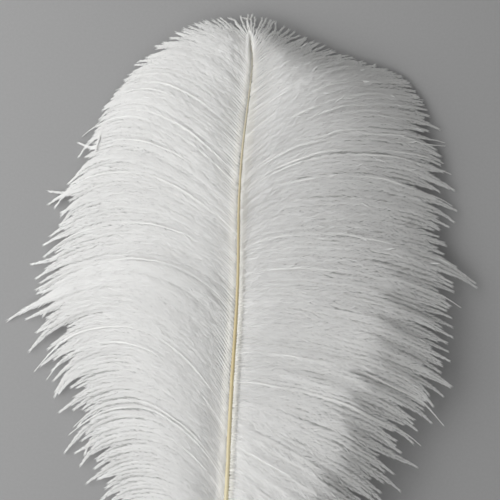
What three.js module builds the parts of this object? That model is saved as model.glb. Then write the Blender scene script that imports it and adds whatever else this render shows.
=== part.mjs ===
// A white ostrich plume, lying on its hollow side with the rounded side up.
// Millimetres, +Y towards the tip, +X to the right, +Z up, and the floor at z = 0.
// The shaft is one grown piece. Each vane is one soft solid that reaches the tips of its barbs.
import * as THREE from 'three';
import { mergeVertices } from 'three/addons/utils/BufferGeometryUtils.js';

// Driving dimensions
const featherLength = 350; // quill end to the tips of the end barbs
const halfLength = featherLength / 2;
const quillRadius = 1.9; // at the bare end of the shaft
const rachisRadius = 1.05; // half way up the vanes
const shaftTipRadius = 0.28;
const rachisDepth = 0.92; // height of the shaft's section over its width
const vaneGap = 0.35; // between the shaft and the soft solids
const vaneBase = -122; // y of the lowest barbs
const vaneRim = 1.8; // thickness of a vane at the tips of its barbs
const vaneThickness = 5.2; // of the arched layer of barbs
const restFrom = 0.86; // the outer part of a barb, from here on, lies flat on the surface
const settleFrom = 0.6; // from here on, the underside comes down to the surface
const barbArch = 0.16; // how far a barb bows towards the tip, as a share of its length
const straightTop = 0.25; // the share of the barbs at the top that bow less and less
const rootCrowding = 1.12; // over 1 sets the roots of the barbs closer together low down
const endBarbDrop = 3; // the topmost barbs are rooted this far under their tips
const floorGap = 0.05; // under the quill end
const quillPinch = 0.55; // the quill end's width over the full width
const pinchShare = 0.0075; // the share of the shaft's length over which it widens again

// How each vane arches. Over 1, fall keeps the vane level near the shaft and steeper at the rim.
// It puffs up most at crestPlace along a barb, by riseLow in the lower half and riseHigh above it.
const leftCrest = { side: -1, fall: 1.6, crestPlace: 0.4, riseLow: 3.5, riseHigh: 1 };
const rightCrest = { side: 1, fall: 2.6, crestPlace: 0.45, riseLow: 7.5, riseHigh: 3 };
const crestLowY = 0; // riseLow holds up to here, in y
const crestHighY = 70; // and riseHigh from here on
const crestSharpness = 1.6; // higher is a narrower crest
const fullReach = 60; // barbs shorter than this puff up less

// Steps of the faceted surfaces
const shaftSides = 12;
const shaftSteps = 66;
const barbSteps = 14;
const barbRows = 38;

// The line of the shaft, from the quill end to the tip: it sways to the left, rises and curls over
const shaftLine = new THREE.CatmullRomCurve3([
  new THREE.Vector3(-9.5, -halfLength, quillRadius * rachisDepth + floorGap),
  new THREE.Vector3(-10.9, -140, 2.6),
  new THREE.Vector3(-11.4, -105, 5.2),
  new THREE.Vector3(-10.2, -60, 9.6),
  new THREE.Vector3(-7.8, -24, 12.8),
  new THREE.Vector3(-5.8, 17, 15.6),
  new THREE.Vector3(-2.9, 66, 17.8),
  new THREE.Vector3(-2.4, 99, 18.4),
  new THREE.Vector3(-1.0, 120, 18.2),
  new THREE.Vector3(1.3, 139, 17.2),
  new THREE.Vector3(3.0, 156, 14.8),
  new THREE.Vector3(1.9, 167, 11.6),
], false, 'centripetal');

// The edge that the tips of the barbs reach, from the lowest barbs to the top of the plume
const leftEdge = [
  [-16, -134], [-29, -130], [-40, -112], [-47, -86], [-52, -60], [-59, -36], [-70, -13], [-82, 8],
  [-89, 30], [-95, 48], [-96, 62], [-91, 76], [-84, 92], [-73, 112], [-62, 132], [-48, 152],
  [-34, 164], [-19, 172.5], [-3, 174.5],
];
const rightEdge = [
  [-7, -134], [7, -129], [20, -110], [32, -86], [44, -60], [57, -36], [71, -12], [80, 10],
  [88, 35], [95, 54], [95.5, 66], [93.5, 82], [89, 104], [82, 130], [72, 149], [50, 158],
  [29, 168], [5, 174.5],
];

const shaftMaterial = new THREE.MeshStandardMaterial({ color: 0xcdb97f, roughness: 0.42, metalness: 0 });
const vaneMaterial = new THREE.MeshStandardMaterial({ color: 0xf1f0ee, roughness: 0.85, metalness: 0 });

// Half the shaft's width, t = 0 at the quill end and 1 at the tip
function shaftRadius(t) {
  const lower = THREE.MathUtils.lerp(quillRadius, rachisRadius, THREE.MathUtils.smoothstep(t, 0, 0.55));
  const taper = THREE.MathUtils.clamp((t - 0.45) / 0.55, 0, 1);
  return THREE.MathUtils.lerp(lower, shaftTipRadius, taper ** 1.3);
}

// Merges the seams of a geometry, so that it is one closed body
function closed(geometry) {
  geometry.deleteAttribute('normal');
  geometry.deleteAttribute('uv');
  const merged = mergeVertices(geometry, 1e-4);
  merged.computeVertexNormals();
  return merged;
}

// The shaft: a cylinder bent along its line and drawn out to a fine tip, with a rounded quill end
function makeShaft() {
  const cylinder = new THREE.CylinderGeometry(1, 1, 1, shaftSides, shaftSteps);
  const place = cylinder.attributes.position;
  const across = new THREE.Vector3();
  const upward = new THREE.Vector3();
  const sideways = new THREE.Vector3(1, 0, 0);
  for (let i = 0; i < place.count; i++) {
    const t = place.getY(i) + 0.5;
    const middle = shaftLine.getPointAt(t);
    const ahead = shaftLine.getTangentAt(t);
    across.copy(sideways).addScaledVector(ahead, -sideways.dot(ahead)).normalize();
    upward.crossVectors(across, ahead);
    const endRound = Math.min(1, quillPinch + (1 - quillPinch) * t / pinchShare);
    const radius = shaftRadius(t) * endRound;
    middle.addScaledVector(across, place.getX(i) * radius);
    middle.addScaledVector(upward, place.getZ(i) * radius * rachisDepth);
    place.setXYZ(i, middle.x, middle.y, middle.z);
  }
  return closed(cylinder);
}

// The point of the shaft's line at a given y, and the shaft's radius there
const lineSamples = Array.from({ length: 401 }, (_, i) => shaftLine.getPointAt(i / 400));
function shaftAt(y) {
  let i = 1;
  while (i < lineSamples.length - 1 && lineSamples[i].y < y) i++;
  const before = lineSamples[i - 1];
  const after = lineSamples[i];
  const share = (y - before.y) / (after.y - before.y);
  const point = before.clone().lerp(after, share); // runs on straight past the tip
  return { point, radius: shaftRadius(Math.min(1, (i - 1 + share) / 400)) };
}

// A vane: a flat box whose length follows the shaft and whose width follows the barbs
function makeVane(edgePoints, crest) {
  const { side, fall, crestPlace, riseLow, riseHigh } = crest;
  const humpPower = Math.log(0.5) / Math.log(crestPlace);
  const edge = new THREE.CatmullRomCurve3(
    edgePoints.map(([x, y]) => new THREE.Vector3(x, y, vaneRim)), false, 'centripetal');
  const rootTop = edgePoints[edgePoints.length - 1][1];
  const box = new THREE.BoxGeometry(1, 1, 1, barbSteps, barbRows, 1);
  const place = box.attributes.position;
  for (let i = 0; i < place.count; i++) {
    const out = side * place.getX(i) + 0.5; // 0 at the shaft, 1 at the tips
    const up = place.getY(i) + 0.5; // 0 at the lowest barbs, 1 at the top of the plume
    const rootY = THREE.MathUtils.lerp(vaneBase, rootTop - endBarbDrop, up ** rootCrowding);
    const { point: middle, radius } = shaftAt(rootY);
    const root = new THREE.Vector3(middle.x + side * (radius + vaneGap), rootY, 0);
    const tip = edge.getPointAt(up);
    const reach = root.distanceTo(tip);
    const x = THREE.MathUtils.lerp(root.x, tip.x, out);
    const bow = barbArch * reach * 4 * out * (1 - out) * Math.min(1, (1 - up) / straightTop);
    const y = THREE.MathUtils.lerp(root.y, tip.y, out) + bow;
    const rootHeight = Math.max(vaneRim, middle.z);
    const hump = Math.sin(Math.PI * out ** humpPower) ** crestSharpness;
    const high = THREE.MathUtils.smoothstep(rootY, crestLowY, crestHighY);
    const puff = THREE.MathUtils.lerp(riseLow, riseHigh, high) * Math.min(1, reach / fullReach) * hump;
    const top = THREE.MathUtils.lerp(rootHeight, vaneRim, out ** fall) + puff;
    const settle = 1 - THREE.MathUtils.smoothstep(out, settleFrom, restFrom);
    const bottom = Math.max(0, top - vaneThickness) * settle;
    place.setXYZ(i, x, y, place.getZ(i) > 0 ? top : bottom);
  }
  return closed(box);
}

function named(name, geometry, material) {
  const mesh = new THREE.Mesh(geometry, material);
  mesh.name = name;
  return mesh;
}

const feather = new THREE.Group();
feather.add(named('shaft', makeShaft(), shaftMaterial));
feather.add(named('left_vane', makeVane(leftEdge, leftCrest), vaneMaterial.clone()));
feather.add(named('right_vane', makeVane(rightEdge, rightCrest), vaneMaterial.clone()));

export default feather;
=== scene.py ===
import math
import bmesh
import bpy
import numpy as np
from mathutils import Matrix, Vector


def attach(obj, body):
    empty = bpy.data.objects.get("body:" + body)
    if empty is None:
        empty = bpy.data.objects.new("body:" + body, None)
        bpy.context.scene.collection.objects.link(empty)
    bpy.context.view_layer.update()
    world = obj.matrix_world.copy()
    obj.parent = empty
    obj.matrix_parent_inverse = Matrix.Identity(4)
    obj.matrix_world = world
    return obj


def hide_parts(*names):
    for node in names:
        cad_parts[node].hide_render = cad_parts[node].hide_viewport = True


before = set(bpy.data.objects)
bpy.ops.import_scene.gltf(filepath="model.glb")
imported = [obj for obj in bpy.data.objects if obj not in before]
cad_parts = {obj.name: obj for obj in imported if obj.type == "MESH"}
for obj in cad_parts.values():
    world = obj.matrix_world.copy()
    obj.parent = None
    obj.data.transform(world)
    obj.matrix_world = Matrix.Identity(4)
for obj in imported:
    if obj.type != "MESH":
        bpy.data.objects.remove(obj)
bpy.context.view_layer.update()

mm = 0.001


def linearColour(hexColour):
    # sRGB hex to the linear numbers that shaders read
    parts = [int(hexColour[i:i + 2], 16) / 255 for i in (1, 3, 5)]
    return [c / 12.92 if c <= 0.04045 else ((c + 0.055) / 1.055) ** 2.4 for c in parts] + [1.0]


def addNode(tree, kind, values=None, links=None, **settings):
    node = tree.nodes.new(kind)
    for name, value in settings.items():
        setattr(node, name, value)
    for name, value in (values or {}).items():
        node.inputs[name].default_value = value
    for name, source in (links or {}).items():
        tree.links.new(source, node.inputs[name])
    return node


def newMaterial(name):
    material = bpy.data.materials.new(name)
    material.use_nodes = True
    material.node_tree.nodes.clear()
    return material, material.node_tree


def smoothStep(low, high, x):
    u = np.clip((x - low) / (high - low), 0, 1)
    return u * u * (3 - 2 * u)


def smoothCurve(x, keyX, keyY):
    # a curve through the keys whose slope is even at each key
    keyX, keyY = np.asarray(keyX, float), np.asarray(keyY, float)
    slope = np.gradient(keyY, keyX)
    i = np.clip(np.searchsorted(keyX, x) - 1, 0, len(keyX) - 2)
    span = keyX[i + 1] - keyX[i]
    u = np.clip((x - keyX[i]) / span, 0, 1)
    a, b = u * u * (3 - 2 * u), u * (1 - u)
    return (keyY[i] * (1 - a) + keyY[i + 1] * a
            + span * b * (slope[i] * (1 - u) - slope[i + 1] * u))


def makeSwell(rng, waves, *lengths):
    # an uneven swell, mostly between -1 and 1, from sine waves about as long as lengths says,
    # in each of the measures that the swell is later asked for
    shape = (waves, len(lengths))
    rates = 2 * math.pi * rng.uniform(0.55, 1.45, shape) * rng.choice((-1, 1), shape) / lengths
    starts = rng.uniform(0, 2 * math.pi, waves)

    def swell(*measures):
        parts = (np.sin(start + sum(r * m for r, m in zip(rate, measures)))
                 for rate, start in zip(rates, starts))
        return sum(parts) / math.sqrt(waves)
    return swell


def unit(v):
    return v / np.maximum(np.linalg.norm(v, axis=-1, keepdims=True), 1e-12)


def readShaft():
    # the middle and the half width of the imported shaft, ring by ring, in millimetres
    ringGap = 1.2            # points further apart than this along the shaft are of different rings
    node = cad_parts["shaft"]
    points = np.array([v.co for v in node.data.vertices])
    points = points[np.argsort(points[:, 1])]
    rings = np.split(points, np.flatnonzero(np.diff(points[:, 1]) > ringGap * mm) + 1)
    middle = np.array([(ring.max(0) + ring.min(0)) / 2 for ring in rings])
    radius = np.array([np.ptp(ring[:, 0]) / 2 for ring in rings])
    return middle / mm, radius / mm


shaftMiddle, shaftRadius = readShaft()
print("shaft line read:", len(shaftMiddle), "rings")


def shaftAt(y):
    # across, height and half width of the shaft at a place along it
    return tuple(np.interp(y, shaftMiddle[:, 1], column)
                 for column in (shaftMiddle[:, 0], shaftMiddle[:, 2], shaftRadius))


# The two vanes, in millimetres. Each key barb has: its root along the shaft, its tip across and
# along, the angle above straight out at which it leaves and how long it keeps that way (a share
# of its length), then the angle at which it arrives and how long it holds that one.
# Each vane also has its own values:
# - fall, over 1, keeps it level near the shaft and makes it steeper at the rim.
# - It is highest at crestPlace along its barbs, puffed up by crestRiseLow in the lower half and
#   by crestRiseHigh near the tip. lobes is the height of its broad swells.
# - crease is the height of its fold, and rimLift is how far its rim hangs over the table.
# - lockShare of its barbs cling together in locks, lockSpacing apart along the rim. pull draws
#   them together from pullFrom on, less so by slackLow in the lower half, and turn is how far
#   their ends turn aside. Every barb wanders by wave.
# - proudShare of its barbs lie on top as single strands, and raised is the share of the downy
#   wisps that stand up.
plume = {
    "seed": 7,
    "steps": 26,                 # points along a barb
    "shoulder": (0.76, 0.62),    # where barbs root: across and up, over the shaft's half width
    "rimHeight": 1.6,            # of the barb tips over the table
    "tipLift": 5.0,              # how much higher the end barbs reach
    "bedDepth": 0.65,            # thickness of the bed of loose barbs under the top ones
    "floorGap": 0.5,             # no barb comes closer to the table
    "fullReach": 60,             # barbs shorter than this puff up less
    "crestSharpness": 2.3,       # higher is a narrower crest
    # pairs of roots along the shaft, between which a change comes in
    "tipLiftRoots": (120, 165),
    "crestRoots": (30, 85),      # from crestRiseLow to crestRiseHigh
    "creaseFade": (88, 45),
    "rimLiftHigh": (95, 50),     # rimLift comes in downwards here,
    "rimLiftLow": (-115, -80),   # and is gone again at the lowest barbs
    "calmRoots": (85, 128),      # towards the tip the barbs are calmer and more even
    "slackRoots": (60, 0),       # slackLow holds below the second
    "downyRoots": (-50, -115),   # fluffier towards the quill
    # where the crease crosses the barbs: their roots, and the share of each
    "creaseRoots": (-129, -90, -57.5, -24.5, 8.6, 41.6, 58, 74.6),
    "creaseShares": (0.66, 0.62, 0.60, 0.635, 0.635, 0.635, 0.64, 0.69),
    "creaseRound": 0.03,         # the share of a barb that its fold is rounded over
    "left": {
        "side": -1, "barbs": 250, "lockShare": 0.68, "lockSpacing": 2.4, "pull": 1.0,
        "pullFrom": 0.73, "slackLow": 0.0, "turn": 2.4, "wave": 0.13, "lobes": 0.35,
        "fall": 1.6, "crestPlace": 0.40, "crestRiseLow": 3.8, "crestRiseHigh": 1.0,
        "crease": 0.0, "rimLift": 0.0, "proudShare": 0.08, "raised": 0.01,
        "keys": [
            (-129.0, -17.0, -133.0, -20, 0.30, -50, 0.45),
            (-113.0, -36.0, -111.0, 10, 0.30, -49, 0.45),
            (-100.0, -40.4, -101.7, 20, 0.31, -48, 0.46),
            (-74.0, -50.9, -70.3, 46, 0.33, -47, 0.47),
            (-57.5, -56.8, -47.7, 60, 0.37, -47, 0.49),
            (-41.0, -62.5, -31.1, 62, 0.43, -48, 0.51),
            (-24.5, -71.0, -11.1, 62, 0.48, -47, 0.53),
            (-8.0, -80.3, 12.5, 62, 0.50, -46, 0.53),
            (8.6, -87.1, 31.2, 62, 0.50, -43, 0.51),
            (25.0, -91.4, 44.9, 62, 0.48, -41, 0.50),
            (41.6, -93.8, 52.6, 62, 0.44, -36, 0.49),
            (58.0, -92.4, 62.0, 55, 0.34, -37, 0.49),
            (74.6, -83.8, 83.0, 49, 0.31, -45, 0.50),
            (91.0, -74.4, 107.2, 47, 0.31, -49, 0.49),
            (107.7, -63.9, 127.9, 48, 0.31, -50, 0.47),
            (124.0, -54.8, 142.8, 49, 0.29, -39, 0.44),
            (140.7, -39.8, 159.7, 54, 0.28, -16, 0.43),
            (154.0, -20.7, 172.3, 68, 0.29, 26, 0.44),
            (161.5, -7.0, 174.6, 76, 0.30, 56, 0.45),
            (166.5, 3.2, 175.4, 92, 0.30, 92, 0.45),
        ],
    },
    "right": {
        "side": 1, "barbs": 250, "lockShare": 0.45, "lockSpacing": 2.8, "pull": 0.6,
        "pullFrom": 0.76, "slackLow": 0.3, "turn": 1.2, "wave": 0.22, "lobes": 0.45,
        "fall": 2.3, "crestPlace": 0.50, "crestRiseLow": 6.0, "crestRiseHigh": 3.4,
        "crease": 12.2, "rimLift": 7.5, "proudShare": 0.13, "raised": 0.012,
        "keys": [
            (-129.0, -3.0, -134.0, -20, 0.30, -60, 0.40),
            (-113.0, 8.0, -128.5, 0, 0.26, -58, 0.40),
            (-100.0, 14.7, -121.8, 12, 0.23, -56, 0.40),
            (-74.0, 26.0, -105.2, 27, 0.17, -53, 0.40),
            (-57.5, 34.0, -90.0, 33, 0.12, -49, 0.40),
            (-41.0, 39.9, -77.1, 35, 0.09, -47, 0.40),
            (-24.5, 45.1, -65.5, 37, 0.07, -45, 0.40),
            (-8.0, 51.6, -50.9, 41, 0.06, -44, 0.39),
            (8.6, 62.0, -30.0, 45, 0.05, -45, 0.39),
            (25.0, 74.4, -3.2, 51, 0.06, -47, 0.39),
            (41.6, 84.8, 15.2, 54, 0.06, -46, 0.38),
            (58.0, 91.3, 36.0, 54, 0.08, -42, 0.36),
            (74.6, 95.2, 63.2, 53, 0.13, -39, 0.37),
            (91.0, 90.4, 90.1, 51, 0.25, -35, 0.36),
            (107.7, 83.6, 121.6, 45, 0.36, -26, 0.36),
            (124.0, 69.2, 148.0, 40, 0.40, -8, 0.37),
            (140.7, 43.2, 158.9, 40, 0.38, 14, 0.38),
            (154.0, 21.8, 168.1, 52, 0.34, 46, 0.39),
            (161.0, 10.0, 173.8, 70, 0.32, 68, 0.40),
            (166.5, 0.4, 175.2, 94, 0.30, 94, 0.40),
        ],
    },
}


def between(name, y):
    # how far a change has come in at a place along the shaft, from 0 to 1
    return smoothStep(*plume[name], y)


def vaneSurface(vane, rootY, s):
    # the smooth top of a vane: the point s of the way along the barb that is rooted at rootY
    side = vane["side"]
    columns = list(zip(*vane["keys"]))
    tipX, tipY, leave, spring, arrive, hold = (smoothCurve(rootY, columns[0], c) for c in columns[1:])
    leave, arrive = np.radians(leave), np.radians(arrive)
    rootX, rootZ, radius = shaftAt(rootY)
    rootX = rootX + side * radius * plume["shoulder"][0]
    rootZ = rootZ + radius * plume["shoulder"][1]
    chord = np.hypot(tipX - rootX, tipY - rootY)
    x1 = rootX + side * np.cos(leave) * chord * spring
    y1 = rootY + np.sin(leave) * chord * spring
    x2 = tipX - side * np.cos(arrive) * chord * hold
    y2 = tipY - np.sin(arrive) * chord * hold
    b0, b1, b2, b3 = (1 - s) ** 3, 3 * s * (1 - s) ** 2, 3 * s * s * (1 - s), s ** 3
    x = b0 * rootX + b1 * x1 + b2 * x2 + b3 * tipX
    y = b0 * rootY + b1 * y1 + b2 * y2 + b3 * tipY
    power = math.log(0.5) / math.log(vane["crestPlace"])
    hump = np.sin(math.pi * np.clip(s, 0, 1) ** power) ** plume["crestSharpness"]
    low, high = vane["crestRiseLow"], vane["crestRiseHigh"]
    rise = low + (high - low) * between("crestRoots", rootY)
    full = np.minimum(1, chord / plume["fullReach"])
    rim = (plume["rimHeight"] + plume["tipLift"] * between("tipLiftRoots", rootY)
           + vane["rimLift"] * between("rimLiftHigh", rootY) * between("rimLiftLow", rootY))
    z = rootZ + (rim - rootZ) * np.maximum(s, 0) ** vane["fall"] + rise * full * hump
    if vane["crease"]:
        # in the lower half the vane rises evenly to a crease, which wanders, and falls evenly from it
        wander = 0.02 * vane["swells"][1][0](rootY, 0.5) + 0.025 * vane["swells"][2][0](rootY, 0.5)
        crest = np.interp(rootY, plume["creaseRoots"], plume["creaseShares"]) + wander
        away = np.hypot(s - crest, plume["creaseRound"])
        most = np.hypot(np.where(s < crest, crest, 1 - crest), plume["creaseRound"])
        folded = rootZ + (rim - rootZ) * s + vane["crease"] * full * (most - away) / (
            most - plume["creaseRound"])
        z = z + (folded - z) * between("creaseFade", rootY)
    for swell, height in vane["swells"]:
        z = z + height * swell(rootY, s) * full * np.sin(math.pi * np.clip(s, 0, 1))
    return np.stack([x, y, z], -1), chord


def vaneNormal(vane, rootY, s):
    # which way the smooth top faces, from the slope along and across the barbs
    beside, beyond, steepest = 0.6, 0.015, 0.9    # a steeper slope is shaded as the steepest
    across = vaneSurface(vane, rootY + beside, s)[0] - vaneSurface(vane, rootY - beside, s)[0]
    along = vaneSurface(vane, rootY, s + beyond)[0] - vaneSurface(vane, rootY, s - beyond)[0]
    normal = np.cross(along, across)
    normal = unit(normal * np.sign(normal[..., 2:]))
    level = np.maximum(normal[..., 2], 1e-3)
    slope = np.hypot(normal[..., 0], normal[..., 1]) / level
    normal[..., :2] *= (np.minimum(slope, steepest) / np.maximum(slope, 1e-6)
                        * normal[..., 2] / level)[..., None]
    return unit(normal)


def rimOf(vane):
    # the roots of the key barbs, and how far along the rim each of them ends
    keyRoots = np.array([key[0] for key in vane["keys"]])
    keyTips = np.array([key[1:3] for key in vane["keys"]])
    return keyRoots, np.concatenate([[0], np.cumsum(np.hypot(*np.diff(keyTips, axis=0).T))])


strands = {
    "proudRoom": 0.3,            # of the place that another barb takes along the shaft
    "wispShare": 0.03,           # of the barbs are short wisps,
    "wispEnds": (0.45, 0.85),    # which end this far along the smooth vane
    "lockEnd": 0.97,             # where locks end, on the whole,
    "looseEnd": 0.91,            # and loose barbs
    "longShare": 0.15,           # of the locks reach further,
    "longBy": (0.02, 0.06),      # by so much
    "strayShare": 0.25,          # of the locks turn aside
    "strayFactor": 3.0,          # so many times as far
    "drawnOver": 0.22,           # the share of a barb over which its lock draws it in
    "proudReach": 0.12,          # how much further a proud barb may reach,
    "proudStray": 0.7,           # how far along the shaft it strays, in millimetres,
    "looseStray": 0.3,           # as other barbs do by this much,
    "proudTurn": 2.5,            # how far its end turns aside, in millimetres,
    "proudLean": (-0.45, 0.15, 0.3),    # and which way it is twisted
}


def rootBarbs(vane, rng):
    # the roots, spaced evenly by the shaft and the rim together, and which barbs are proud
    keyRoots, rim = rimOf(vane)
    measure = (keyRoots - keyRoots[0]) / (keyRoots[-1] - keyRoots[0]) + rim / rim[-1]
    proud = rng.random(vane["barbs"]) < vane["proudShare"]
    proud[1:] &= ~proud[:-1]
    room = np.where(proud, strands["proudRoom"], 1.0)
    order = np.cumsum(room) - room * rng.uniform(0.4, 0.6, vane["barbs"])
    return np.interp(order / room.sum() * 2, measure, keyRoots), proud


def lockBarbs(vane, root, proud, rng):
    # locks of barbs cling together towards their tips, spaced along the rim. For each barb:
    # whether it is in a lock, the root at the middle of that lock, how tightly the lock draws it
    # in, where it ends, and how far its end drifts along the shaft and turns aside
    count = len(root)
    keyRoots, rim = rimOf(vane)
    lockRim = np.cumsum(vane["lockSpacing"] * rng.uniform(0.4, 1.7, 400))
    lockRim = lockRim[lockRim < rim[-1]]
    locks = np.interp(lockRim, rim, keyRoots)
    lock = np.abs(np.interp(root, keyRoots, rim)[:, None] - lockRim[None]).argmin(1)
    inLock = (rng.random(count) < vane["lockShare"]) & ~proud
    wisp = (rng.random(count) < strands["wispShare"]) & ~inLock & ~proud
    wisp[1:] &= ~(wisp | proud)[:-1]
    tight = np.where(inLock, vane["pull"] * rng.uniform(0.8, 1.05, count), rng.uniform(0, 0.3, count))
    calm = between("calmRoots", root)
    tight = tight * (1 - 0.7 * calm) * (1 - vane["slackLow"] * between("slackRoots", root))
    longer = (rng.random(len(locks)) < strands["longShare"]) * rng.uniform(*strands["longBy"], len(locks))
    uneven = rng.normal(-0.01, 0.035, len(locks)) + longer
    lockEnd = strands["lockEnd"] + uneven * (1 - 0.7 * between("calmRoots", locks))
    ragged = 1 - 0.8 * calm
    ends = np.where(inLock, lockEnd[lock] - np.abs(rng.normal(0, 0.045, count)) * ragged,
                    strands["looseEnd"] + 0.06 * calm - np.abs(rng.normal(0, 0.05, count)) * ragged)
    ends = np.where(proud, ends + rng.uniform(0, strands["proudReach"], count) * (1 - calm), ends)
    ends = np.where(wisp, rng.uniform(*strands["wispEnds"], count), ends)
    drift = rng.normal(0, 0.5, len(locks))[lock] * inLock
    factor = np.where(rng.random(len(locks)) < strands["strayShare"], strands["strayFactor"], 1.0)
    turn = (rng.normal(0, vane["turn"], len(locks)) * factor)[lock] * inLock
    turn = (turn + rng.normal(0, strands["proudTurn"], count) * proud) * (1 - 0.5 * calm)
    return inLock, locks[lock], tight, ends, drift, turn


def growBarbs(vane, rng):
    # the barbs of a vane: the line of each, which way it faces, and how its down grows
    count = vane["barbs"]
    root, proud = rootBarbs(vane, rng)
    vane["swells"] = [    # broad, middling and small ones, each with its height
        (makeSwell(rng, 5, 75.0, 1.5), vane["lobes"]),
        (makeSwell(rng, 6, 26.0, 1.3), 0.14),
        (makeSwell(rng, 8, 9.0, 1.1), 0.05),
    ]
    inLock, lockRoot, tight, ends, drift, turn = lockBarbs(vane, root, proud, rng)
    calm = between("calmRoots", root)

    def each(low, high):
        return rng.uniform(low, high, count)[:, None]

    s = ends[:, None] * np.linspace(0, 1, plume["steps"])[None]
    drawn = tight[:, None] * smoothStep(vane["pullFrom"], vane["pullFrom"] + strands["drawnOver"], s)
    stray = np.where(proud, rng.normal(0, strands["proudStray"], count),
                     rng.normal(0, strands["looseStray"], count))
    bent = (root[:, None] + (lockRoot - root)[:, None] * drawn
            + stray[:, None] * smoothStep(0.3, 1.1, s) + drift[:, None] * smoothStep(0.75, 1.05, s))
    bent = np.clip(bent, vane["keys"][0][0], vane["keys"][-1][0])
    place, chord = vaneSurface(vane, bent, s)
    normal = vaneNormal(vane, bent, s)
    travelled = s * chord

    # the bed of loose barbs lies under the locks; proud barbs dip in and out of it
    below = np.where(inLock, rng.uniform(0, 0.4, count), plume["bedDepth"] * rng.random(count) ** 1.3)
    dip = np.sin(travelled / each(4, 9) + each(0, 6.3))
    depth = np.where(proud[:, None], -0.05 - 0.35 * dip, below[:, None])
    thick = (smoothStep(0.0, 0.4, s) * (1 - 0.7 * smoothStep(0.7, 1.0, s))
             * np.minimum(1, chord / plume["fullReach"]))
    place = place - normal * (depth * thick)[..., None]

    # each barb also waves a little from side to side, and the ends of the locks turn aside
    ahead = unit(np.gradient(place, axis=1))
    sideways = unit(np.cross(normal, ahead))
    looseness = np.where(proud, 1.4, 1.0)[:, None] * vane["wave"] * smoothStep(0.06, 0.5, s)
    sway = makeSwell(rng, 5, 9.0, 0.35)
    wave = looseness * (np.sin(travelled / each(1.8, 3.4) + each(0, 6.3)) * each(0.2, 1.0)
                        + sway(bent, s))
    wave = wave * (1 - 0.5 * calm[:, None]) + turn[:, None] * smoothStep(0.85, 1.04, s)
    place = place + sideways * wave[..., None]
    place[..., 2] = np.maximum(place[..., 2], plume["floorGap"])

    # a proud barb is twisted towards the rounded middle, so it stands out as a pale strand
    twisted = proud * rng.uniform(0.1, 0.9, count)
    normal = unit(normal + twisted[:, None, None] * np.array(strands["proudLean"]))

    def kinds(forProud, forLock, forBed):
        return np.where(proud, forProud, np.where(inLock, forLock, forBed))
    return {
        "place": place, "normal": normal, "s": s, "root": root, "chord": chord.mean(1),
        "raised": vane["raised"],
        # painted shade: barbs beneath are painted darker at random for the shadows between them, and proud
        # barbs on top stay palest
        "paintedShade": np.where(proud, 1.0, rng.random(count)),
        "spread": kinds(0.35, 0.85, 1.08),    # how wide its barbules stand
        "fluff": kinds(0.6, 1.0, 1.0),        # how long they are
        "round": kinds(0.6, 0.2, 0.1),        # how much they are shaded as one round strand
        "amount": kinds(1.0, 1.0, 1.0 - 0.05 * below),    # and how many it has
    }


def meshFromArrays(name, points, triangles, run, paintedShade, bakeUv, normals):
    # a piece of many joined strands: run is how far along its barb each point is, and the painted shade
    # says how pale it is painted, standing in for the shadows between barbs
    mesh = bpy.data.meshes.new(name)
    mesh.vertices.add(len(points))
    mesh.vertices.foreach_set("co", (points * mm).astype(np.float32).ravel())
    mesh.loops.add(triangles.size)
    mesh.loops.foreach_set("vertex_index", triangles.astype(np.int32).ravel())
    mesh.polygons.add(len(triangles))
    mesh.polygons.foreach_set("loop_start", np.arange(0, triangles.size, 3, dtype=np.int32))
    mesh.update(calc_edges=True)
    for key, values in (("barbRun", run), ("barbPaintedShade", paintedShade)):
        mesh.attributes.new(key, "FLOAT", "POINT").data.foreach_set("value", values.astype(np.float32))
    uv = mesh.uv_layers.new(name="OFBake")
    uv.uv.foreach_set("vector", bakeUv[triangles.ravel()].astype(np.float32).ravel())
    mesh.normals_split_custom_set_from_vertices(normals.astype(np.float32))
    piece = bpy.data.objects.new(name, mesh)
    bpy.context.scene.collection.objects.link(piece)
    return piece


ribs = {
    "width": 0.18,           # millimetres, for the horn along the middle of a barb,
    "tipWidth": 0.03,        # where it ends,
    "rootWidth": 0.30,       # and added at the shaft, where bare bases stand side by side
    "rootReach": 7.5,        # millimetres over which that dies away
    "flatness": 0.4,         # height over width
    "taper": 0.7,            # under 1 is slender only near the tip
    "round": 0.3,            # how much a rib is shaded as a round strand
    "rootRound": 0.4,        # and how much more at the shaft
}


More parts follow.
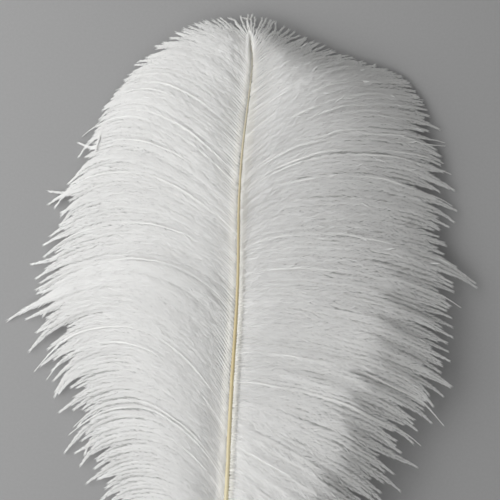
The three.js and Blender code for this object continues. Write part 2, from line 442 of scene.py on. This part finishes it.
def barbRibs(name, barbs):
    # the ribs of the barbs: three-sided horn strands that taper to a point
    place = barbs["place"]
    count, steps = place.shape[:2]
    ahead = unit(np.gradient(place, axis=1))
    sideways = unit(np.cross(barbs["normal"], ahead))
    up = np.cross(ahead, sideways)
    run = np.broadcast_to(np.linspace(0, 1, steps), (count, steps))
    near = np.exp(-barbs["s"] * barbs["chord"][:, None] / ribs["rootReach"])
    half = 0.5 * (ribs["rootWidth"] * near + ribs["width"] * (1 - run) ** ribs["taper"]
                  + ribs["tipWidth"])
    corners, normals = [], []
    for angle in (90, 210, 330):
        a = math.radians(angle)
        corner = sideways * math.cos(a) + up * math.sin(a) * ribs["flatness"]
        corners.append(place + corner * half[..., None])
        lean = math.cos(a) * (ribs["round"] + ribs["rootRound"] * near)
        normals.append(unit(barbs["normal"] + sideways * lean[..., None]))
    points = np.stack(corners, 2).reshape(-1, 3)
    normals = np.stack(normals, 2).reshape(-1, 3)
    base = (np.arange(count)[:, None] * steps + np.arange(steps - 1)[None]).reshape(-1) * 3
    faces = []
    for k in range(3):
        a, b = base + k, base + (k + 1) % 3
        faces += [np.stack([a, b, b + 3], 1), np.stack([a, b + 3, a + 3], 1)]
    tips = (np.arange(count) * steps + steps - 1) * 3
    faces.append(np.stack([tips, tips + 1, tips + 2], 1))
    triangles = np.concatenate(faces)
    uv = np.stack([(np.arange(count)[:, None] + 0.5 + 0 * run) / count, 0.02 + 0.96 * run], -1)
    uv = np.repeat(uv.reshape(-1, 2), 3, 0)
    uv[:, 0] += np.tile((-0.3, 0.0, 0.3), count * steps) / count
    return meshFromArrays(name, points, triangles, np.repeat(barbs["s"].reshape(-1), 3),
                          np.repeat(np.repeat(barbs["paintedShade"], steps), 3), uv, normals)


down = {
    "perMm": 13.4,           # barbules for each millimetre of barb
    "length": 5.4,
    "width": 0.20,
    "bareRoot": 0.1,         # millimetres of barb without barbules next to the shaft
    "closeStretch": 3.5,     # over these next millimetres the barbules stand closer,
    "closeFactor": 2.4,      # by this factor
    "apartOver": (4, 24),    # millimetres of barb over which it parts from its neighbours
    "sunk": 0.28,            # millimetres by which the down lies under the bare bases,
    "sunkFrom": (1, 4.5),    # coming in over these millimetres of barb
    "sunkTo": (16, 7),       # and going out over these
    "rootLength": 0.48,      # of the full length, next to the shaft
    "tipLength": 0.36,       # and at the tips
    "sweep": 11,             # degrees off the barb, next to the shaft,
    "sweepApart": 14,        # and more further out,
    "sweepFilling": 17,      # in the gaps between the bases
    "sweepDowny": 12,        # and towards the quill
    "fillingShare": 0.4,     # of the barbules next to the shaft fill the gaps,
    "fillingDepth": 0.25,    # millimetres lower
    "unrulyShare": 0.03,     # of the barbules stand off more, and are shorter
    "clumps": (1.0, 2.8),    # millimetres of barb whose barbules cling together in a wisp
    "cling": (0.3, 0.85),    # how closely they cling
    "clumpStray": 0.35,      # millimetres by which the end of a wisp strays
    "clumpRound": 0.12,      # how much a wisp is shaded as a round strand
    "raisedCling": 0.9,      # how closely a raised wisp clings,
    "raisedRound": 0.6,      # how much it is shaded as a round strand,
    "raisedLean": (-0.25, 0.1, 0.8),    # which way it is turned,
    "raisedBy": 0.5,         # and how many millimetres its end stands out
    "floorGap": 0.15,        # no barbule comes closer to the table
}


def sowBarbules(barbs, rows, reach, rng):
    # for each barbule: its barb, its number on that barb, and how far along it stands
    amount = (down["perMm"] * reach * barbs["amount"][rows]).astype(int)
    which = np.repeat(np.arange(len(reach)), amount)
    order = np.arange(len(which)) - np.repeat(np.cumsum(amount) - amount, amount)
    start = (down["bareRoot"] / reach)[which]
    share = (order + rng.random(len(which))) / amount[which]
    close = (down["closeStretch"] / reach)[which]
    closeShare = np.clip(down["closeFactor"] * close, 0, 0.5)
    u = np.where(share < closeShare, share / closeShare * close,
                 close + (share - closeShare) / (1 - closeShare) * (1 - close))
    return which, order, start, start + (1 - start) * u


def barbDown(name, barbs, rows, rng):
    # the barbules: fine slivers that sweep forward on both sides of each barb
    place, surface = barbs["place"][rows], barbs["normal"][rows]
    reach = np.linalg.norm(np.diff(place, axis=1), axis=2).sum(1)
    which, order, start, u = sowBarbules(barbs, rows, reach, rng)
    count = len(which)

    # where each one sits, with the directions ahead, out of the vane and to the side
    step = u * (place.shape[1] - 1) * 0.9999
    i = step.astype(int)
    f = (step - i)[:, None]
    ahead = unit(np.gradient(place, axis=1))
    at, t, n = (line[which, i] * (1 - f) + line[which, i + 1] * f for line in (place, ahead, surface))
    t = unit(t)
    b = unit(np.cross(n, t))
    n = np.cross(t, b)
    travelled = (u - start) * reach[which]
    left = (1 - u) * reach[which]
    sunk = down["sunk"] * smoothStep(*down["sunkFrom"], travelled) * smoothStep(*down["sunkTo"], travelled)
    at = at - n * sunk[:, None]

    # how long each one is, how far it stands off its barb, and to which side
    downy = between("downyRoots", barbs["root"][rows])[which]
    spread = barbs["spread"][rows][which]
    length = down["length"] * rng.uniform(0.7, 1.15, count) * barbs["fluff"][rows][which] * (
        down["rootLength"] + (1 - down["rootLength"]) * smoothStep(3, 10, travelled)) * (
        down["tipLength"] + (1 - down["tipLength"]) * smoothStep(0, 22, left))
    apart = smoothStep(*down["apartOver"], travelled)
    filling = (rng.random(count) < down["fillingShare"]) * (1 - apart)
    sweep = (down["sweep"] + down["sweepApart"] * apart + down["sweepFilling"] * filling
             + down["sweepDowny"] * downy) * spread
    sweep = sweep * (0.52 + 0.48 * smoothStep(0, 9, left))
    sweep = np.radians(sweep * rng.uniform(0.5, 1.4, count))
    unruly = rng.random(count) < down["unrulyShare"]
    sweep = np.where(unruly, sweep * 2.2, sweep)
    length = np.where(unruly, length * 0.6, length)
    rank = np.where(order % 2 == 0, 1.0, -1.0)    # which side of its barb
    roll = rng.normal(0, 0.3, count) + 0.8 * downy * rng.normal(0, 1, count)
    aside = b * (rank * np.cos(roll))[:, None] + n * np.sin(roll)[:, None]

    # they leave the barb at a wider angle and end at a narrower one
    wider, narrower = sweep * 1.25, sweep * 0.62
    first = unit(t * np.cos(wider)[:, None] + aside * np.sin(wider)[:, None])
    second = unit(t * np.cos(narrower)[:, None] + aside * np.sin(narrower)[:, None] - n * 0.05)
    lower = down["fillingDepth"] * filling
    half = (length * 0.5)[:, None]
    middle = at + first * half - n * (lower * smoothStep(0, 3, travelled))[:, None]
    tip = middle + second * half - n * lower[:, None]

    # neighbouring barbules cling together in short pointed wisps
    clump = rng.uniform(*down["clumps"], len(place))[which]
    number = (travelled / clump + rng.random(len(place))[which]).astype(int)
    wisp = np.unique((which * 2 + (rank > 0)) * 512 + number, return_inverse=True)[1].reshape(-1)
    size = np.bincount(wisp)[:, None]

    def mean(values):
        return np.stack([np.bincount(wisp, values[:, k]) for k in range(3)], 1) / size
    astray = rng.normal(0, down["clumpStray"], size.shape) * mean(n) + rng.normal(
        0, down["clumpStray"], size.shape) * mean(b)
    raised = (rng.random(size.shape) < barbs["raised"])[wisp]
    cling = np.where(raised, down["raisedCling"], rng.uniform(*down["cling"], size.shape)[wisp])
    cling = cling * ((0.1 + 0.9 * apart) * smoothStep(3, 16, left))[:, None]
    stand = raised * apart[:, None] * down["raisedBy"] * n
    aim = (mean(tip) + astray)[wisp]
    offset = ((tip - aim) * b).sum(1) / (0.5 * clump)
    tip = tip + (aim - tip) * cling + stand
    middle = middle + (mean(middle)[wisp] - middle) * np.where(raised, 0.7, 0.4) * cling + 0.8 * stand

    # each barbule is two triangles: a point on the barb, two corners at its middle, and its tip
    tilt = np.clip(rng.normal(0, 0.25, count), -0.8, 0.8)
    flat = unit(n + np.cross(t, n) * np.tan(tilt)[:, None])
    wide = unit(np.cross(flat, first)) * (0.5 * down["width"] * rng.uniform(0.7, 1.3, count))[:, None]
    points = np.stack([at, middle - wide, middle + wide, tip], 1)
    points[..., 2] = np.maximum(points[..., 2], down["floorGap"])
    base = np.arange(count) * 4
    triangles = np.stack([base, base + 1, base + 2, base + 1, base + 3, base + 2], 1).reshape(-1, 3)

    # shading: a barbule turns to its side as a round strand does, and so does its wisp
    lean = aside * (barbs["round"][rows][which] + 0.7 * (1 - apart))[:, None] + 0.04 * rng.normal(
        0, 1, n.shape)
    n = unit(n + raised * apart[:, None] * np.array(down["raisedLean"]))
    bulge = np.where(raised[:, 0], down["raisedRound"], down["clumpRound"])
    lean = lean + b * (np.clip(offset, -1.2, 1.2) * bulge)[:, None]
    normals = unit(np.stack([n, n + 0.5 * lean, n + 0.5 * lean, n + lean], 1)).reshape(-1, 3)
    run = barbs["s"][rows][which, i]
    # the painted shade between barbs is strongest next to the shaft and evened out further along
    paintedShade = 0.65 + (barbs["paintedShade"][rows][which] - 0.65) * (1 - 0.65 * apart)

    # in the unwrapped layout each barb has its own strip, with a rank of barbules on each side
    strip = (which + 0.5) / len(place)
    hug = rank * 0.42 / len(place)
    ends = np.minimum(0.99, u + length / reach[which])
    half = 0.5 * (u + ends)
    uv = np.stack([
        np.stack([strip, 0.005 + u * 0.985], -1),
        np.stack([strip + hug * 0.55, half - 0.0012], -1),
        np.stack([strip + hug * 0.45, half + 0.0012], -1),
        np.stack([strip + hug, ends], -1)], 1).reshape(-1, 2)
    return meshFromArrays(name, points.reshape(-1, 3), triangles, np.repeat(run, 4),
                          np.repeat(paintedShade, 4), uv, normals)


def downMaterial():
    # bleached ostrich down, feather keratin: white and soft, a touch creamier at the shaft, and
    # so thin that half of the light comes through it. Each barb is painted a little darker at random as
    # painted shade between barbs
    material, tree = newMaterial("bleachedDown")
    run = addNode(tree, "ShaderNodeAttribute", attribute_name="barbRun")
    paintedShade = addNode(tree, "ShaderNodeAttribute", attribute_name="barbPaintedShade")
    ramp = addNode(tree, "ShaderNodeValToRGB", links={"Fac": run.outputs["Fac"]})
    ramp.color_ramp.elements[0].color = linearColour("#F8F7F3")
    ramp.color_ramp.elements[1].color = linearColour("#F8F8F7")
    ramp.color_ramp.elements[1].position = 0.025
    # painted shade: each barb is painted up to 9 per cent darker, and proud barbs not at all
    shade = addNode(tree, "ShaderNodeMapRange", values={"To Min": 0.91, "To Max": 1.0},
                    links={"Value": paintedShade.outputs["Fac"]})
    mixed = addNode(tree, "ShaderNodeVectorMath", operation="SCALE",
                    links={0: ramp.outputs["Color"], "Scale": shade.outputs["Result"]})
    horn = addNode(tree, "ShaderNodeBsdfPrincipled",
                   values={"Roughness": 0.5, "IOR": 1.54, "Specular IOR Level": 0.4},
                   links={"Base Color": mixed.outputs["Vector"]})
    glow = addNode(tree, "ShaderNodeBsdfTranslucent", links={"Color": mixed.outputs["Vector"]})
    blend = addNode(tree, "ShaderNodeMixShader", values={"Fac": 0.48},
                    links={1: horn.outputs[0], 2: glow.outputs[0]})
    addNode(tree, "ShaderNodeOutputMaterial", links={"Surface": blend.outputs[0]})
    return material


def ribMaterial():
    # bare feather barbs, thin keratin horn: paler than the shaft, denser and glossier than the down
    material, tree = newMaterial("barbHorn")
    paintedShade = addNode(tree, "ShaderNodeAttribute", attribute_name="barbPaintedShade")
    # painted shade: each rib is painted paler or darker by its barb's painted shade value
    ramp = addNode(tree, "ShaderNodeValToRGB", links={"Fac": paintedShade.outputs["Fac"]})
    ramp.color_ramp.elements[0].color = linearColour("#EAE8E3")
    ramp.color_ramp.elements[1].color = linearColour("#FAF9F6")
    horn = addNode(tree, "ShaderNodeBsdfPrincipled",
                   values={"Roughness": 0.42, "IOR": 1.54, "Specular IOR Level": 0.4},
                   links={"Base Color": ramp.outputs["Color"]})
    glow = addNode(tree, "ShaderNodeBsdfTranslucent", links={"Color": ramp.outputs["Color"]})
    blend = addNode(tree, "ShaderNodeMixShader", values={"Fac": 0.15},
                    links={1: horn.outputs[0], 2: glow.outputs[0]})
    addNode(tree, "ShaderNodeOutputMaterial", links={"Surface": blend.outputs[0]})
    return material


def hornMaterial():
    # feather shaft horn, grown keratin: cream to gold, long fine streaks and a soft polish
    material, tree = newMaterial("shaftHorn")
    where = addNode(tree, "ShaderNodeTexCoord")
    stretch = addNode(tree, "ShaderNodeMapping", values={"Scale": (1, 0.04, 1)},
                      links={"Vector": where.outputs["Object"]})
    # streaks about 0.45 mm across, and 25 times as long
    streaks = addNode(tree, "ShaderNodeTexNoise", values={"Scale": 2200.0, "Detail": 4.0},
                      links={"Vector": stretch.outputs[0]})
    along = addNode(tree, "ShaderNodeSeparateXYZ", links={"Vector": where.outputs["Object"]})
    span = addNode(tree, "ShaderNodeMapRange", values={"From Min": -0.175, "From Max": 0.167},
                   links={"Value": along.outputs["Y"]})    # from the quill end to the tip
    ramp = addNode(tree, "ShaderNodeValToRGB", links={"Fac": span.outputs["Result"]})
    ramp.color_ramp.elements[0].color = linearColour("#E2DBC6")
    ramp.color_ramp.elements[1].color = linearColour("#B5B1A2")
    for place, hexColour in ((0.45, "#D2C8A6"), (0.62, "#BBAB7E"), (0.8, "#B4A784")):
        ramp.color_ramp.elements.new(place).color = linearColour(hexColour)
    tint = addNode(tree, "ShaderNodeMapRange", values={"To Min": 0.88, "To Max": 1.06},
                   links={"Value": streaks.outputs["Fac"]})
    mixed = addNode(tree, "ShaderNodeVectorMath", operation="SCALE",
                    links={0: ramp.outputs["Color"], "Scale": tint.outputs["Result"]})
    bump = addNode(tree, "ShaderNodeBump", values={"Strength": 0.25, "Distance": 0.00005},
                   links={"Height": streaks.outputs["Fac"]})
    horn = addNode(tree, "ShaderNodeBsdfPrincipled",
                   values={"Roughness": 0.36, "IOR": 1.54},
                   links={"Base Color": mixed.outputs["Vector"], "Normal": bump.outputs[0]})
    addNode(tree, "ShaderNodeOutputMaterial", links={"Surface": horn.outputs[0]})
    return material


def floorMaterial():
    # rolled grey paper: matt, with a faint grain about 1 mm across
    material, tree = newMaterial("paperFloor")
    where = addNode(tree, "ShaderNodeTexCoord")
    grain = addNode(tree, "ShaderNodeTexNoise", values={"Scale": 900.0, "Detail": 3.0},
                    links={"Vector": where.outputs["Object"]})
    ramp = addNode(tree, "ShaderNodeValToRGB", links={"Fac": grain.outputs["Fac"]})
    ramp.color_ramp.elements[0].color = linearColour("#8E8E8E")
    ramp.color_ramp.elements[1].color = linearColour("#949494")
    paper = addNode(tree, "ShaderNodeBsdfPrincipled", values={"Roughness": 0.9},
                    links={"Base Color": ramp.outputs["Color"]})
    addNode(tree, "ShaderNodeOutputMaterial", links={"Surface": paper.outputs[0]})
    return material


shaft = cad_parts["shaft"]
shaft.data.materials.clear()
shaft.data.materials.append(hornMaterial())

downWhite = downMaterial()
ribWhite = ribMaterial()
rng = np.random.default_rng(plume["seed"])
total = 0
for name in ("left", "right"):
    vane = plume[name]
    barbs = growBarbs(vane, rng)
    made = [barbRibs(name + "_barbs", barbs)]
    weight = np.cumsum(barbs["chord"])
    cuts = [0] + [int(np.searchsorted(weight, weight[-1] * k / 3)) for k in (1, 2)] + [vane["barbs"]]
    for k, stretch in enumerate(("lower", "middle", "upper")):
        made.append(barbDown(f"{name}_down_{stretch}", barbs, slice(cuts[k], cuts[k + 1]), rng))
    for piece in made:
        piece.data.materials.append(ribWhite if piece is made[0] else downWhite)
        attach(piece, "root")
        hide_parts(name + "_vane")
        total += len(piece.data.polygons)
        print(piece.name, len(piece.data.polygons), "triangles")
print("fibres:", total, "triangles")

stage = {
    "middle": (2.07, 78.8),    # what the camera looks down on, in millimetres
    "view": 206.5,             # millimetres across the picture
    "height": 1200.0,          # of the camera over the table
    "level": 2,                # the height at which the picture is that wide
    "floorSize": 3.0,          # metres
    "skyStrength": 0.235,      # soft light from all around
}

# a plain pale floor of paper
floorMesh = bpy.data.meshes.new("floor")
form = bmesh.new()
bmesh.ops.create_grid(form, x_segments=1, y_segments=1, size=stage["floorSize"])
form.to_mesh(floorMesh)
form.free()
floor = bpy.data.objects.new("floor", floorMesh)
bpy.context.scene.collection.objects.link(floor)
floorMesh.materials.append(floorMaterial())


def addAreaLight(name, place, target, size, power, colour="#FFFFFF"):
    light = bpy.data.lights.new(name, "AREA")
    light.shape = "DISK"
    light.size = size
    light.energy = power
    light.color = linearColour(colour)[:3]
    lamp = bpy.data.objects.new(name, light)
    bpy.context.scene.collection.objects.link(lamp)
    lamp.location = place
    lamp.rotation_euler = (Vector(target) - Vector(place)).to_track_quat("-Z", "Y").to_euler()


# large soft lamps, in metres and watts: one low on the left, and a weaker one above the quill
addAreaLight("keyLight", (-0.56, 0.20, 0.46), (0, 0.08, 0), 0.95, 8.0)
addAreaLight("fillLight", (-0.1, -0.7, 1.0), (0, 0.05, 0), 1.0, 3.6)

world = bpy.data.worlds.new("studio")
world.use_nodes = True
world.node_tree.nodes["Background"].inputs["Color"].default_value = linearColour("#EEEEEE")
world.node_tree.nodes["Background"].inputs["Strength"].default_value = stage["skyStrength"]
bpy.context.scene.world = world
bpy.context.scene.view_settings.view_transform = "Standard"

lens = bpy.data.cameras.new("camera")
camera = bpy.data.objects.new("camera", lens)
bpy.context.scene.collection.objects.link(camera)
camera.location = (stage["middle"][0] * mm, stage["middle"][1] * mm, stage["height"] * mm)
lens.angle = 2 * math.atan(stage["view"] / 2 / (stage["height"] - stage["level"]))
lens.clip_start = 0.01
bpy.context.scene.camera = camera
print("stage, lights and camera placed")
